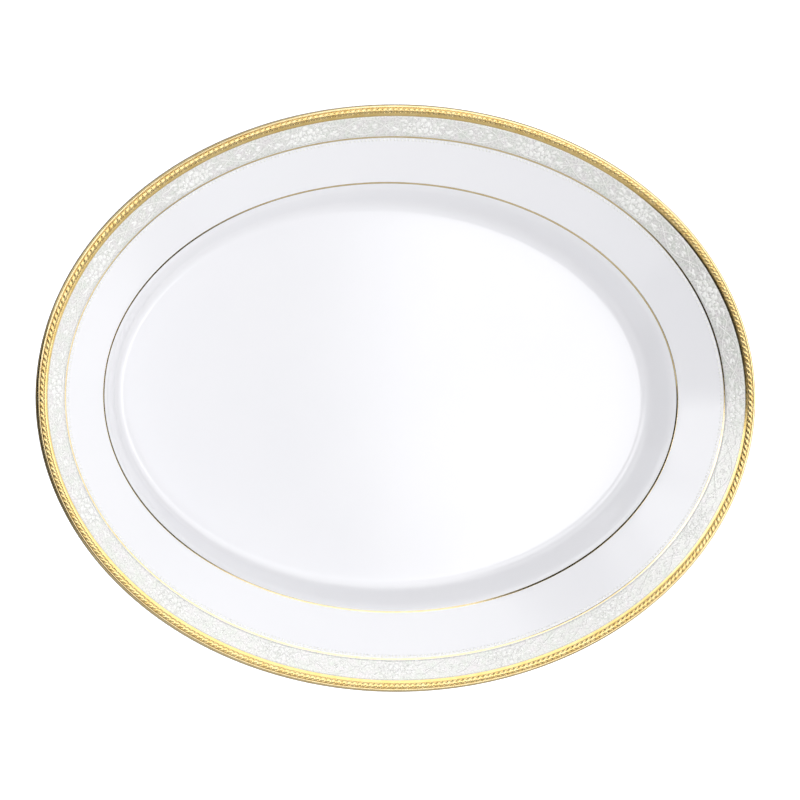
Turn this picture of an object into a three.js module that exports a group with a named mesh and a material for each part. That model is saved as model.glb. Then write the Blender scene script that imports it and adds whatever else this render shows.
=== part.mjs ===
// Oval serving platter in glazed white china, with its fired-on gold and enamel decoration.
//
// Millimetres, +Z up, resting on z = 0, long axis along X, centred on the Z axis.
//
// Every ring of the platter is one of a family of ovals: an oval at inset d has half axes
// LENGTH / 2 - d and WIDTH / 2 - d. A cross-section is drawn once as (inset, height) points,
// turned on a lathe about the Z axis, and then pressed in along Y to make the round ring oval.
//
// The decoration is fired on in layers. Each layer is its own closed ring, lying in a shallow
// seat in the china, and neighbours share their vertices, so that they touch without overlapping.

import * as THREE from "three";

// ---- Driving dimensions ----------------------------------------------------------------

const LENGTH = 356;
const WIDTH = 266;
const HEIGHT = 31;
const WELL_DEPTH = 24; // from the top of the edge down to the floor of the well
const STATIONS = 72; // steps round the oval

// Insets from the outer edge at which one ring ends and the next begins.
const EDGE_UNDERSIDE = 0.9; // the gold on the edge ends here, under the rim
const EDGE_LINE_END = 1.6;
const ETCHED_BAND_END = 4;
const INNER_LINE_END = 5.3;
const ENAMEL_RELIEF_START = 6.3;
const ENAMEL_RELIEF_END = 12.7;
const ENAMEL_END = 14;
const BAND_LINE_END = 15.2;
const BEADS_END = 16.8;
const SHOULDER_LINE_START = 34.7;
const SHOULDER_LINE_END = 35.9;
const WELL_FLOOR_START = 48; // the wall of the well has turned into the floor here

// The wall of the well is two curves that meet at its middle. Each is drawn towards the corner
// that the straight faces beside it would make.
const SHOULDER_CORNER = { inset: 37.6, drop: 13.4 };
const WALL_MIDDLE = { inset: 41.5, drop: 18.6 };
const FLOOR_CORNER = { inset: 44.6, drop: WELL_DEPTH };

// Heights of the rim's upper surface below the top of the edge.
const EDGE_THICKNESS = 3.4;
const DROP_AT_INNER_LINE = 0.9;
const DROP_AT_BAND_LINE = 4.3;
const DROP_AT_SHOULDER = 12;
const SHOULDER_LINE_FALL = 0.5; // from the outer to the inner side of the shoulder line

// Layers.
const LAYER = 0.3; // depth of the seat that a decoration layer fills
const GOLD_RISE = 0.18; // the etched band and the gold lines are crowned by this much
const BEAD_RISE = 0.3;
const RELIEF_RISE = 0.35;

// Underside.
const FLOOR_THICKNESS = 4;
const RIM_THICKNESS = 4.2;
const FOOT_OUTER = 51;
const FOOT_WIDTH = 3.4; // flat, unglazed ring that the platter stands on
const FOOT_CHAMFER = 0.8;
const FOOT_FILLET = 1; // run of the slope between the inner side of the foot and the recess
const FLOOR_UNDERSIDE = HEIGHT - WELL_DEPTH - FLOOR_THICKNESS;

// The underside flares from the foot out to below the shoulder, starting FLARE_STEP from the
// foot and drawn towards a corner.
const FLARE_STEP = 4;
const FLARE_RISE = 0.8;
const FLARE_CORNER = { inset: 44, height: 6 };
const SHOULDER_UNDER_OFFSET = 3; // the lower shoulder lies this much further in than the upper
const EDGE_UNDER_DROP = 4.9; // of the underside, below the inner side of the etched band

// ---- Finishes --------------------------------------------------------------------------

const china = new THREE.MeshStandardMaterial({ color: 0xf5f5f9, roughness: 0.1, metalness: 0 });
const burnishedGold = new THREE.MeshStandardMaterial({ color: 0xe9c66b, roughness: 0.12, metalness: 1 });
const etchedGold = new THREE.MeshStandardMaterial({ color: 0xd9a648, roughness: 0.38, metalness: 1 });
const pearlEnamel = new THREE.MeshStandardMaterial({ color: 0xe2e5df, roughness: 0.3, metalness: 0 });
const whiteEnamel = new THREE.MeshStandardMaterial({ color: 0xfbfbf7, roughness: 0.2, metalness: 0 });

// ---- Helpers ---------------------------------------------------------------------------

// Height of the rim's upper surface at an inset between the gold border and the well. The rim
// falls in two straight stretches, from the border to the band line and on to the shoulder.
function rimTop(inset) {
  if (inset <= INNER_LINE_END) {
    const t = (inset - EDGE_LINE_END) / (INNER_LINE_END - EDGE_LINE_END);
    return HEIGHT - DROP_AT_INNER_LINE * t;
  }
  if (inset <= BAND_LINE_END) {
    const t = (inset - INNER_LINE_END) / (BAND_LINE_END - INNER_LINE_END);
    return HEIGHT - THREE.MathUtils.lerp(DROP_AT_INNER_LINE, DROP_AT_BAND_LINE, t);
  }
  const t = (inset - BAND_LINE_END) / (SHOULDER_LINE_START - BAND_LINE_END);
  return HEIGHT - THREE.MathUtils.lerp(DROP_AT_BAND_LINE, DROP_AT_SHOULDER, t);
}

// A point of a cross-section on the rim's upper surface, raised or (rise < 0) sunk by rise.
function onRim(inset, rise = 0) {
  return [inset, rimTop(inset) + rise];
}

// A point of a cross-section at a drop below the top of the edge.
function below(inset, drop) {
  return [inset, HEIGHT - drop];
}

// Points along a quadratic curve from one (inset, height) point to another, both included.
function curve(from, control, to, steps) {
  const [a, b, c] = [from, control, to].map(([x, y]) => new THREE.Vector2(x, y));
  return new THREE.QuadraticBezierCurve(a, b, c).getPoints(steps).map((p) => [p.x, p.y]);
}

// Presses a ring turned about the Z axis into an oval: a point at radius r moves in along Y
// by the difference of the half axes, so that every ring keeps its inset all the way round.
function makeOval(geometry) {
  const squeeze = (LENGTH - WIDTH) / 2;
  const position = geometry.getAttribute("position");
  for (let i = 0; i < position.count; i += 1) {
    const radius = Math.hypot(position.getX(i), position.getY(i));
    if (radius > squeeze) position.setY(i, (position.getY(i) * (radius - squeeze)) / radius);
  }
  return geometry;
}

// Splits each four-sided patch of a lathe along the same diagonal whichever way its profile is
// listed, so that a layer and the seat below it have the same triangles.
function matchDiagonals(geometry, profile) {
  const index = [];
  for (let station = 0; station < STATIONS; station += 1) {
    for (let j = 0; j + 1 < profile.length; j += 1) {
      const here = station * profile.length + j;
      const next = here + profile.length;
      const outward = profile[j].x - profile[j + 1].x || profile[j].y - profile[j + 1].y;
      if (outward > 0) index.push(here, next, next + 1, here, next + 1, here + 1);
      else index.push(here, next, here + 1, next + 1, here + 1, next);
    }
  }
  geometry.setIndex(index);
}

// A closed ring or bowl from a cross-section of (inset, height) points, listed along the
// underside outward and along the top inward. An inset of null stands for the Z axis.
function turned(section) {
  const profile = section.map(
    ([inset, height]) => new THREE.Vector2(inset === null ? 0 : LENGTH / 2 - inset, height),
  );
  const geometry = new THREE.LatheGeometry(profile, STATIONS);
  matchDiagonals(geometry, profile);
  geometry.rotateX(Math.PI / 2);
  return makeOval(geometry);
}

// A decoration layer: its upper line and the seat below it, both listed from the edge inward.
function layer(upper, seat) {
  const section = [...[...seat].reverse(), ...upper];
  return turned([...section, section[0]]);
}

function named(name, geometry, material) {
  const mesh = new THREE.Mesh(geometry, material);
  mesh.name = name;
  return mesh;
}

// ---- Lines shared by the china and the layers on it --------------------------------------

// The rolled edge, from under the rim round the outside to the start of the etched band.
const edgeUpper = [
  below(EDGE_UNDERSIDE, EDGE_THICKNESS),
  below(0.4, 2.8),
  below(0, 1.8),
  below(0, 1.1),
  below(0.35, 0.4),
  below(1, 0),
  onRim(EDGE_LINE_END),
];
const edgeSeat = [
  below(EDGE_UNDERSIDE, EDGE_THICKNESS - LAYER),
  below(0.66, 2.66),
  below(LAYER, 1.75),
  below(LAYER, 1.2),
  below(0.6, 0.65),
  below(1.1, LAYER),
  onRim(EDGE_LINE_END, -LAYER),
];

// The seat under everything between the rolled edge and the plain verge.
const bandSeat = [
  EDGE_LINE_END,
  ETCHED_BAND_END,
  INNER_LINE_END,
  ENAMEL_RELIEF_START,
  ENAMEL_RELIEF_END,
  ENAMEL_END,
  BAND_LINE_END,
  BEADS_END,
].map((inset) => onRim(inset, -LAYER));

const reliefSeat = [ENAMEL_RELIEF_START, ENAMEL_RELIEF_END].map((inset) => onRim(inset));

// The seat of the shoulder line, where the rim begins to turn down into the well.
const shoulderSeat = [
  below(SHOULDER_LINE_START, DROP_AT_SHOULDER + LAYER),
  below(SHOULDER_LINE_END, DROP_AT_SHOULDER + SHOULDER_LINE_FALL + LAYER),
];

// The top of a line on a seat: level with the glaze at both sides and crowned in the middle.
function crowned(seat, rise) {
  const [start, end] = [seat[0], seat[seat.length - 1]];
  const middle = [(start[0] + end[0]) / 2, (start[1] + end[1]) / 2 + LAYER + rise];
  return [[start[0], start[1] + LAYER], middle, [end[0], end[1] + LAYER]];
}

// The part of the band seat between two insets.
function seatBetween(start, end) {
  return bandSeat.filter(([inset]) => inset >= start && inset <= end);
}

// ---- Pieces ----------------------------------------------------------------------------

// The china itself: rim, well, floor and foot, fired as one body. The section runs from the
// middle of the underside out to the edge, and back over the rim and the well to the middle.
function chinaBody() {
  const underside = [
    [null, FLOOR_UNDERSIDE],
    [FOOT_OUTER + FOOT_WIDTH + 2 * FOOT_CHAMFER + FOOT_FILLET, FLOOR_UNDERSIDE],
    [FOOT_OUTER + FOOT_WIDTH + FOOT_CHAMFER, FOOT_CHAMFER],
    [FOOT_OUTER + FOOT_WIDTH, 0],
    [FOOT_OUTER, 0],
    [FOOT_OUTER - FOOT_CHAMFER, FOOT_CHAMFER],
    [FOOT_OUTER - 1.5 * FOOT_CHAMFER, FLOOR_UNDERSIDE],
  ];
  const flareStart = [FOOT_OUTER - FLARE_STEP, FLOOR_UNDERSIDE + FLARE_RISE];
  const shoulderUnder = [
    SHOULDER_LINE_START + SHOULDER_UNDER_OFFSET,
    HEIGHT - DROP_AT_SHOULDER - RIM_THICKNESS,
  ];
  const flare = curve(flareStart, [FLARE_CORNER.inset, FLARE_CORNER.height], shoulderUnder, 4);
  const rimUnder = [
    onRim(BAND_LINE_END, -RIM_THICKNESS),
    [ETCHED_BAND_END, HEIGHT - EDGE_UNDER_DROP],
  ];
  const edge = [edgeUpper[0], ...edgeSeat];
  const rim = [...bandSeat.slice(1), onRim(BEADS_END), onRim(SHOULDER_LINE_START)];
  const shoulder = [...shoulderSeat, below(SHOULDER_LINE_END, DROP_AT_SHOULDER + SHOULDER_LINE_FALL)];
  const wallMiddle = below(WALL_MIDDLE.inset, WALL_MIDDLE.drop);
  const shoulderCorner = below(SHOULDER_CORNER.inset, SHOULDER_CORNER.drop);
  const floorCorner = below(FLOOR_CORNER.inset, FLOOR_CORNER.drop);
  const wall = [
    ...curve(shoulder[2], shoulderCorner, wallMiddle, 4).slice(1),
    ...curve(wallMiddle, floorCorner, below(WELL_FLOOR_START, WELL_DEPTH), 5).slice(1),
  ];
  const floor = [[null, HEIGHT - WELL_DEPTH]];
  return turned([...underside, ...flare, ...rimUnder, ...edge, ...rim, ...shoulder, ...wall, ...floor]);
}

function goldEdgeLine() {
  return layer(edgeUpper, edgeSeat);
}

function etchedBand() {
  const seat = seatBetween(EDGE_LINE_END, ETCHED_BAND_END);
  return layer(crowned(seat, GOLD_RISE), seat);
}

function goldInnerLine() {
  const seat = seatBetween(ETCHED_BAND_END, INNER_LINE_END);
  return layer(crowned(seat, GOLD_RISE), seat);
}

function enamelGround() {
  const seat = seatBetween(INNER_LINE_END, ENAMEL_END);
  return layer([onRim(INNER_LINE_END), ...reliefSeat, onRim(ENAMEL_END)], seat);
}

// The raised flowers and vines, here as the plain strip that they fill.
function enamelRelief() {
  const middle = onRim((ENAMEL_RELIEF_START + ENAMEL_RELIEF_END) / 2, RELIEF_RISE);
  return layer([reliefSeat[0], middle, reliefSeat[1]], reliefSeat);
}

function bandLine() {
  const seat = seatBetween(ENAMEL_END, BAND_LINE_END);
  return layer(crowned(seat, GOLD_RISE), seat);
}

function beadRow() {
  const seat = seatBetween(BAND_LINE_END, BEADS_END);
  return layer(crowned(seat, BEAD_RISE), seat);
}

function shoulderLine() {
  return layer(crowned(shoulderSeat, GOLD_RISE), shoulderSeat);
}

// ---- Assembly --------------------------------------------------------------------------

const platter = new THREE.Group();
platter.add(
  named("china_body", chinaBody(), china),
  named("gold_edge_line", goldEdgeLine(), burnishedGold),
  named("etched_gold_band", etchedBand(), etchedGold),
  named("gold_inner_line", goldInnerLine(), burnishedGold),
  named("enamel_ground", enamelGround(), pearlEnamel),
  named("enamel_relief", enamelRelief(), whiteEnamel),
  named("gold_band_line", bandLine(), burnishedGold),
  named("enamel_bead_row", beadRow(), whiteEnamel),
  named("gold_shoulder_line", shoulderLine(), burnishedGold),
);

export default platter;
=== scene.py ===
"""Oval china serving platter: the finished look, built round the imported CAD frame.

Lengths are in metres in the frame of the CAD model: +X along the oval, +Z up, the foot on
z = 0. A place on the platter is given by its inset from the outer edge, the same all the way
round, and by its angle or its distance round the oval. New pieces are surfaces worked out as
whole numpy arrays and ride on the one body of the frame, "root".
"""

import logging
import math
from dataclasses import dataclass, field
from enum import Enum

import bpy
import numpy as np
from mathutils import Matrix, Vector


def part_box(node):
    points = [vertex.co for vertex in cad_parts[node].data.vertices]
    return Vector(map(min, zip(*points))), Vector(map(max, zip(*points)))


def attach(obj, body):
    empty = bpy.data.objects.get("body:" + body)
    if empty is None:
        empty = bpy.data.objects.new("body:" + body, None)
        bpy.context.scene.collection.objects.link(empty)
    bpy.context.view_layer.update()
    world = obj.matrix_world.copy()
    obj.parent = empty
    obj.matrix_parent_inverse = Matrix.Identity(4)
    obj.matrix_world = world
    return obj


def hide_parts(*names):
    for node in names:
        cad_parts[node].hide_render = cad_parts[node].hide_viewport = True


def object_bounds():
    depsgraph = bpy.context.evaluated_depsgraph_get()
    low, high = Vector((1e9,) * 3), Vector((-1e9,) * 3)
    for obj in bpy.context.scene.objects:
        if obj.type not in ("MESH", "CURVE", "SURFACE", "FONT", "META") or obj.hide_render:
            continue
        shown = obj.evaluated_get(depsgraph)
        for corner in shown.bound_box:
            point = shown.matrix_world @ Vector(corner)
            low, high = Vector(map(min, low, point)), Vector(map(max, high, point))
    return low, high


Array = np.ndarray
Color = tuple[float, float, float]
Stop = tuple[float, Color]
Corner = tuple[float, float, float]
Place = tuple[float, float, float]
MM = 0.001
STRAIGHT = 1e-4
BODY = "root"

log = logging.getLogger("platter")
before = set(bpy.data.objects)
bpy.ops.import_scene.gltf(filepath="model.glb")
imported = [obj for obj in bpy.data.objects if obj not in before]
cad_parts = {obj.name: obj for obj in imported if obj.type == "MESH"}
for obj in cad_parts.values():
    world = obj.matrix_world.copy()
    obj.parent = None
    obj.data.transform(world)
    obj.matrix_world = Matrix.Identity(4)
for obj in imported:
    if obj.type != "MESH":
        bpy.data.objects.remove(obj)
CAD_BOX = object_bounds()


# ---- Mesh helpers -----------------------------------------------------------------------


def signed_volume(vertices: Array, faces: Array) -> float:
    """Volume that the faces enclose: a sum of tetrahedra from the origin to each triangle.

    Args:
        vertices: (n, 3) points.
        faces: (m, 4) corner indices, a triangle having its last corner twice.

    Returns:
        The volume, negative if the faces point inwards.
    """
    a, b, c, d = (vertices[faces[:, k]] for k in range(4))
    first = np.einsum("ij,ij->i", a, np.cross(b, c))
    second = np.einsum("ij,ij->i", a, np.cross(c, d))
    return float((first + second).sum() / 6)


def make_piece(
    name: str,
    vertices: Array,
    faces: Array,
    finishes: list[bpy.types.Material],
) -> bpy.types.Object:
    """A smooth-shaded object at the origin from points and faces that enclose a volume.

    Args:
        name: the piece's name.
        vertices: (n, 3) points in metres.
        faces: (m, 4) corner indices, a triangle having its last corner twice.
        finishes: materials for the object's slots.

    Returns:
        The object, linked to the scene, with its faces pointing outwards.
    """
    if signed_volume(vertices, faces) < 0:
        faces = faces[:, ::-1]
    # A triangle that was turned round has its first corner twice instead of its last.
    last_twice = faces[:, 3] == faces[:, 2]
    first_twice = faces[:, 0] == faces[:, 1]
    counts = np.where(last_twice | first_twice, 3, 4)
    keep = np.ones(faces.shape, bool)
    keep[last_twice, 3] = False
    keep[first_twice, 0] = False
    corners = faces[keep]
    mesh = bpy.data.meshes.new(name)
    mesh.vertices.add(len(vertices))
    mesh.vertices.foreach_set("co", vertices.astype(np.float32).ravel())
    mesh.loops.add(len(corners))
    mesh.loops.foreach_set("vertex_index", corners.astype(np.int32))
    mesh.polygons.add(len(faces))
    starts = np.concatenate([[0], np.cumsum(counts)[:-1]])
    mesh.polygons.foreach_set("loop_start", starts.astype(np.int32))
    mesh.polygons.foreach_set("use_smooth", np.ones(len(faces), bool))
    mesh.update(calc_edges=True)
    mesh.validate()
    for finish in finishes:
        mesh.materials.append(finish)
    piece = bpy.data.objects.new(name, mesh)
    bpy.context.collection.objects.link(piece)
    log.info("%s: %d vertices, %d faces", name, len(vertices), len(faces))
    return piece


def around(count: int) -> Array:
    """Equally spaced angles over one full turn, as a column."""
    return np.arange(count)[:, None] / count * 2 * math.pi


def grid_faces(rows: int, columns: int, wrap_rows: bool, wrap_columns: bool) -> Array:
    """Faces between neighbouring points of a grid stored row by row.

    Args:
        rows: number of rows of points.
        columns: number of points in a row.
        wrap_rows: whether the last row joins the first.
        wrap_columns: whether each row's last point joins its first.

    Returns:
        (m, 4) corner indices.
    """
    i = np.arange(rows if wrap_rows else rows - 1)[:, None]
    j = np.arange(columns if wrap_columns else columns - 1)[None, :]
    here, over = i * columns, ((i + 1) % rows) * columns
    beside = (j + 1) % columns
    return np.stack([here + j, here + beside, over + beside, over + j], -1).reshape(-1, 4)


def lines_with_arcs(corners: list[Corner], steps: int) -> Array:
    """A line through corners, with each inner corner rounded by a circular arc.

    At a corner turned by angle 2a, an arc of radius r starts r tan(a) before the corner and
    ends as far behind it, and its points are turned about its centre in equal steps.

    Args:
        corners: (x, y, radius) for each corner; a radius of 0 leaves it sharp.
        steps: number of steps in each arc.

    Returns:
        (n, 2) points of the line.
    """
    points = np.array([corner[:2] for corner in corners])
    made = [points[:1]]
    for before, at, after, (_, _, radius) in zip(points, points[1:], points[2:], corners[1:]):
        incoming = (at - before) / np.linalg.norm(at - before)
        outgoing = (after - at) / np.linalg.norm(after - at)
        half = math.acos(float(np.clip(incoming @ outgoing, -1, 1))) / 2
        if radius == 0 or half < STRAIGHT:
            made.append(at[None])
            continue
        side = np.sign(incoming[0] * outgoing[1] - incoming[1] * outgoing[0])
        normal = side * np.array([-incoming[1], incoming[0]])
        start = at - incoming * radius * math.tan(half)
        turn = np.linspace(0, 2 * half, steps + 1)[:, None]
        made.append(start + radius * (np.sin(turn) * incoming + (1 - np.cos(turn)) * normal))
    made.append(points[-1:])
    return np.concatenate(made)


def subdivided(line: Array, longest: float) -> Array:
    """The line with equally spaced points put into each stretch longer than longest.

    Args:
        line: (n, 2) points.
        longest: greatest distance wanted between neighbours.

    Returns:
        (m, 2) points, the given ones among them.
    """
    made = []
    for start, end in zip(line, line[1:]):
        count = max(1, math.ceil(np.linalg.norm(end - start) / longest))
        made.append(start + (end - start) * np.arange(count)[:, None] / count)
    return np.concatenate(made + [line[-1:]])


# ---- The platter's shape ----------------------------------------------------------------


@dataclass(frozen=True)
class Platter:
    """Overall shape, with its ring positions read from the CAD nodes.

    Every ring is an oval x = (half_length - inset) cos t, y = (half_width - inset) sin t.
    The sizes from crown to floor_start are the insets of the upper outline's corners, apart
    from the band line's, which is read from the CAD and follows inner_line. The radii round
    the corners between the first and the last, in their order.
    """

    half_length: float = field(default_factory=lambda: (CAD_BOX[1][0] - CAD_BOX[0][0]) / 2)
    half_width: float = field(default_factory=lambda: (CAD_BOX[1][1] - CAD_BOX[0][1]) / 2)
    height: float = field(default_factory=lambda: CAD_BOX[1][2])
    well_depth: float = 24 * MM
    rim_thickness: float = 4.2 * MM
    floor_thickness: float = 4 * MM
    edge_thickness: float = 3.4 * MM
    gold_seat: float = 0.2 * MM
    drop_at_crown_end: float = 0.2 * MM
    drop_at_inner_line: float = 0.9 * MM
    drop_at_band_line: float = 4.3 * MM
    drop_at_shoulder: float = 12 * MM
    crown: float = 0.95 * MM
    crown_end: float = 3.0 * MM
    inner_line: float = 5.3 * MM
    rim_end: float = 37.2 * MM
    floor_edge: float = 45.2 * MM
    floor_start: float = 57 * MM
    crown_radius: float = 5 * MM
    roll_radius: float = 12 * MM
    rim_radius: float = 60 * MM
    shoulder_radius: float = 10 * MM
    well_radius: float = 6.5 * MM
    arc_steps: int = 9
    chords: int = 7200

    def ring_start(self, node: str) -> float:
        """Inset at which a CAD ring begins, from the length of its box."""
        low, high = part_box(node)
        return self.half_length - (high[0] - low[0]) / 2

    def top_line(self) -> Array:
        """The upper outline from the crown of the edge to the flat floor of the well.

        Returns:
            (n, 2) of inset and height: straight stretches joined by arcs.
        """
        top = self.height
        shoulder = self.ring_start("gold_shoulder_line")
        band_end = self.ring_start("enamel_bead_row")
        slope = (self.drop_at_shoulder - self.drop_at_band_line) / (shoulder - band_end)
        rim_end_height = top - self.drop_at_shoulder - slope * (self.rim_end - shoulder)
        floor = top - self.well_depth
        corners = [
            (self.crown, top - self.gold_seat, 0.0),
            (self.crown_end, top - self.gold_seat - self.drop_at_crown_end, self.crown_radius),
            (self.inner_line, top - self.drop_at_inner_line, self.roll_radius),
            (band_end, top - self.drop_at_band_line, self.rim_radius),
            (self.rim_end, rim_end_height, self.shoulder_radius),
            (self.floor_edge, floor, self.well_radius),
            (self.floor_start, floor, 0.0),
        ]
        return lines_with_arcs(corners, self.arc_steps)

    def rim_height(self, inset: Array) -> Array:
        """Height of the upper surface at an inset, read off the upper outline."""
        line = self.top_line()
        return np.interp(inset, line[:, 0], line[:, 1])

    def points(self, inset: Array, height: Array, angle: Array) -> Array:
        """Points in space for insets, heights and oval angles.

        Args:
            inset: distances in from the outer edge.
            height: heights over the foot.
            angle: oval angles; all three arrays have shapes that match.

        Returns:
            Points with the coordinates last.
        """
        x = (self.half_length - inset) * np.cos(angle)
        y = (self.half_width - inset) * np.sin(angle)
        return np.stack(np.broadcast_arrays(x, y, height), -1)

    def angles_evenly_spaced(self, inset: float, count: int, start: float = 0.0) -> Array:
        """Oval angles at equal distances along the ring at an inset.

        The distance round an oval is the running sum of its chords, turned round by
        interpolation to give the angle at each distance.

        Args:
            inset: the ring's inset.
            count: number of angles.
            start: angle of the first.

        Returns:
            (count,) angles, rising by one full turn in all.
        """
        fine = start + np.linspace(0, 2 * math.pi, self.chords + 1)
        ring = self.points(np.full(fine.shape, inset), np.zeros(fine.shape), fine)
        along = np.concatenate([[0], np.cumsum(np.linalg.norm(np.diff(ring, axis=0), axis=1))])
        return np.interp(np.arange(count) / count * along[-1], along, fine)

    def length_round(self, inset: float) -> float:
        """Distance round the oval at an inset, by Ramanujan's formula for an ellipse."""
        a, b = self.half_length - inset, self.half_width - inset
        return math.pi * (3 * (a + b) - math.sqrt((3 * a + b) * (a + 3 * b)))


@dataclass(frozen=True)
class Border:
    """A strip that follows the rim, for patterns drawn flat and laid on it.

    A pattern point is (along, across, lift): distance round the middle ring, anticlockwise
    seen from above, distance outward from it, and height over the rim's surface.
    """

    platter: Platter
    middle: float
    start_angle: float = 0.0
    stations: int = 3600
    newton_rounds: int = 3
    slope_step: float = 0.05 * MM

    def place(self, along: Array, across: Array, lift: Array) -> Array:
        """Lays pattern points on the rim.

        The middle ring is stepped off by its own length to find each point's angle. The
        point then moves outward along the ring's level normal, its inset is found by
        Newton's rule, and it is lifted along the slope's normal.

        Args:
            along: distance round the middle ring.
            across: distance outward from the middle ring.
            lift: distance over the rim's surface.

        Returns:
            Points in space, with the coordinates last.
        """
        along, across, lift = np.broadcast_arrays(along, across, lift)
        total = self.platter.length_round(self.middle)
        even = self.platter.angles_evenly_spaced(self.middle, self.stations, self.start_angle)
        even = np.append(even, even[0] + 2 * math.pi)
        turns = np.floor(along / total)
        angle = np.interp(along / total - turns, np.linspace(0, 1, self.stations + 1), even)
        a, b = self.platter.half_length - self.middle, self.platter.half_width - self.middle
        outward = np.stack([np.cos(angle) / a, np.sin(angle) / b])
        outward /= np.linalg.norm(outward, axis=0)
        x = a * np.cos(angle) + across * outward[0]
        y = b * np.sin(angle) + across * outward[1]
        inset = self.middle - across
        for _ in range(self.newton_rounds):
            p, q = self.platter.half_length - inset, self.platter.half_width - inset
            error = (x / p) ** 2 + (y / q) ** 2 - 1
            inset = inset - error / (2 * x**2 / p**3 + 2 * y**2 / q**3)
        height = self.platter.rim_height(inset)
        slope = (height - self.platter.rim_height(inset + self.slope_step)) / self.slope_step
        upright = 1 / np.sqrt(1 + slope**2)
        lean = -slope * upright * lift
        return np.stack([x + lean * outward[0], y + lean * outward[1], height + upright * lift], -1)


# ---- Finishes ---------------------------------------------------------------------------


class Shading:
    """A material's node tree, with short calls for the nodes that the finishes use."""

    def __init__(self, name: str) -> None:
        """Starts a material that holds one Principled shader."""
        self.material = bpy.data.materials.new(name)
        self.material.use_nodes = True
        self.tree = self.material.node_tree
        self.shader = self.tree.nodes["Principled BSDF"]
        self.place = self.tree.nodes.new("ShaderNodeTexCoord").outputs["Object"]

    def constant(self, **values: float | tuple[float, ...]) -> None:
        """Sets sockets of the shader that are the same all over, named with underscores."""
        for name, value in values.items():
            self.shader.inputs[name.replace("_", " ")].default_value = value

    def noise(self, scale: float, detail: float = 2.0, roughness: float = 0.5) -> bpy.types.NodeSocket:
        """Noise of the place on the object.

        Args:
            scale: features in a metre.
            detail: how many finer layers are added.
            roughness: how strong the finer layers are.

        Returns:
            The noise, mostly between 0.3 and 0.7.
        """
        node = self.tree.nodes.new("ShaderNodeTexNoise")
        node.inputs["Scale"].default_value = scale
        node.inputs["Detail"].default_value = detail
        node.inputs["Roughness"].default_value = roughness
        self.tree.links.new(self.place, node.inputs["Vector"])
        return node.outputs["Fac"]

    def ramp(self, source: bpy.types.NodeSocket, *stops: Stop) -> bpy.types.NodeSocket:
        """A colour ramp.

        Args:
            source: the value that picks the colour.
            stops: (position, colour) of each stop, in rising order.

        Returns:
            The colour.
        """
        node = self.tree.nodes.new("ShaderNodeValToRGB")
        elements = node.color_ramp.elements
        while len(elements) < len(stops):
            elements.new(0.5)
        for element, (position, color) in zip(elements, stops):
            element.position = position
            element.color = (*color, 1.0)
        self.tree.links.new(source, node.inputs["Fac"])
        return node.outputs["Color"]

    def spread(self, source: bpy.types.NodeSocket, low: float, high: float) -> bpy.types.NodeSocket:
        """Maps noise, which keeps mostly between 0.3 and 0.7, to another range.

        Args:
            source: the noise.
            low: what 0.3 becomes.
            high: what 0.7 becomes.

        Returns:
            The mapped value.
        """
        node = self.tree.nodes.new("ShaderNodeMapRange")
        node.inputs["From Min"].default_value = 0.3
        node.inputs["From Max"].default_value = 0.7
        node.inputs["To Min"].default_value = low
        node.inputs["To Max"].default_value = high
        self.tree.links.new(source, node.inputs["Value"])
        return node.outputs["Result"]

    def bump(self, source: bpy.types.NodeSocket, distance: float, strength: float = 1.0) -> None:
        """Adds a bump on top of those that the surface has.

        Args:
            source: the bump's height as a share.
            distance: the height of a full share, in metres.
            strength: how much of the bump shows.
        """
        node = self.tree.nodes.new("ShaderNodeBump")
        node.inputs["Strength"].default_value = strength
        node.inputs["Distance"].default_value = distance
        self.tree.links.new(source, node.inputs["Height"])
        normal = self.shader.inputs["Normal"]
        if normal.is_linked:
            self.tree.links.new(normal.links[0].from_socket, node.inputs["Normal"])
        self.tree.links.new(node.outputs["Normal"], normal)

    def drive(self, name: str, source: bpy.types.NodeSocket) -> None:
        """Links a varying value or colour to a socket of the shader."""
        self.tree.links.new(source, self.shader.inputs[name])


@dataclass(frozen=True)
class Glaze:
    """Clear gloss glaze over white china."""

    light: Color = (0.900, 0.900, 0.932)
    pooled: Color = (0.885, 0.887, 0.922)

    def build(self) -> bpy.types.Material:
        """Two tints that drift into each other, a very slight swim in the surface, and gloss.

        Returns:
            The material.
        """
        shading = Shading("glaze")
        drift = shading.noise(14, detail=3)
        shading.drive("Base Color", shading.ramp(drift, (0.35, self.pooled), (0.65, self.light)))
        shading.drive("Roughness", shading.spread(shading.noise(120), 0.05, 0.10))
        shading.constant(IOR=1.52, Coat_Weight=0.35, Coat_Roughness=0.03)
        shading.bump(shading.noise(38, detail=1), 0.05 * MM, 0.35)
        shading.bump(shading.noise(420), 0.004 * MM, 0.3)
        return shading.material


@dataclass(frozen=True)
class BareChina:
    """Unglazed ground china on the flat of the foot."""

    clean: Color = (0.80, 0.78, 0.74)
    worn: Color = (0.60, 0.57, 0.52)

    def build(self) -> bpy.types.Material:
        """A matt, finely pitted surface with a little grey where it has rubbed on shelves.

        Returns:
            The material.
        """
        shading = Shading("bare_china")
        rubbed = shading.noise(180, detail=6, roughness=0.7)
        shading.drive("Base Color", shading.ramp(rubbed, (0.4, self.worn), (0.6, self.clean)))
        shading.constant(Roughness=0.72)
        shading.bump(shading.noise(2600, detail=3), 0.03 * MM, 0.6)
        return shading.material


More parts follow.
